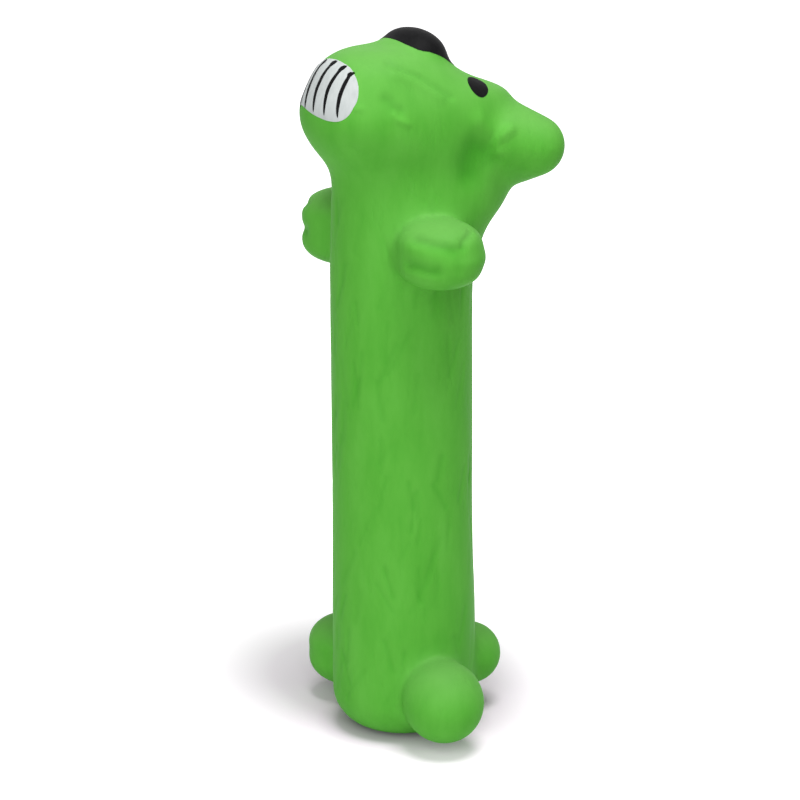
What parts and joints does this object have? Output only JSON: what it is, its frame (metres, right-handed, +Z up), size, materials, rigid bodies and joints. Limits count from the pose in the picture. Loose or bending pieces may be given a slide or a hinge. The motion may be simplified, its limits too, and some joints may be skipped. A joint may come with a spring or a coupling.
{
  "type": "squeaky dog toy",
  "caption": "Upright long hollow latex dog with a fibre filling, stub paws and feet, a toothy painted muzzle turned upwards, and a reed squeaker in its flat base.",
  "frame": {"origin": "middle of the flat resting face at the base, on the axis of the long body", "axes": "+Z up the long body to the nose, -Y the belly and tooth side, +X the toy's left side"},
  "size_m": [0.1126, 0.1045, 0.3032],
  "materials": {
    "green_latex": "satin",
    "black_paint": "satin",
    "white_paint": "satin",
    "white_plastic": "gloss",
    "reed_plastic": "gloss",
    "white_fibre": "matte"
  },
  "bodies": {
    "rump": {"rump_skin": "green_latex", "waist_skin": "green_latex", "rump_fibre": "white_fibre", "waist_fibre": "white_fibre", "left_foot": "green_latex", "right_foot": "green_latex", "tail": "green_latex", "squeaker_body": "white_plastic", "squeaker_face": "white_plastic", "reed_collar": "white_plastic", "reed_shallot": "white_plastic"},
    "chest": {"chest_skin": "green_latex", "shoulder_skin": "green_latex", "neck_skin": "green_latex", "chest_fibre": "white_fibre", "neck_fibre": "white_fibre", "left_paw": "green_latex", "right_paw": "green_latex"},
    "head": {"head_skin": "green_latex", "head_fibre": "white_fibre", "left_ear": "green_latex", "right_ear": "green_latex", "nose": "black_paint", "tooth_coat": "white_paint", "tooth_line_1": "black_paint", "tooth_line_2": "black_paint", "tooth_line_3": "black_paint", "tooth_line_4": "black_paint", "tooth_line_5": "black_paint", "tooth_line_6": "black_paint", "left_eye_coat": "black_paint", "right_eye_coat": "black_paint"},
    "reed": {"reed_tongue": "reed_plastic"}
  },
  "joints": [
    {"name": "waist_bend", "type": "hinge", "parent": "rump", "child": "chest", "pos_m": [0, 0, 0.118], "axis": [1, 0, 0], "range_deg": [-20, 20], "stiffness_Nm_per_rad": 1.5, "deforming": ["waist_skin", "waist_fibre"]},
    {"name": "neck_nod", "type": "hinge", "parent": "chest", "child": "head", "pos_m": [0, 0, 0.2365], "axis": [1, 0, 0], "range_deg": [-10, 10], "stiffness_Nm_per_rad": 1, "deforming": ["neck_skin", "neck_fibre"]},
    {"name": "reed_flex", "type": "hinge", "parent": "rump", "child": "reed", "pos_m": [0, -0.00047, 0.0108], "axis": [-1, 0, 0], "range_deg": [0, 3], "stiffness_Nm_per_rad": 0.0005}
  ]
}
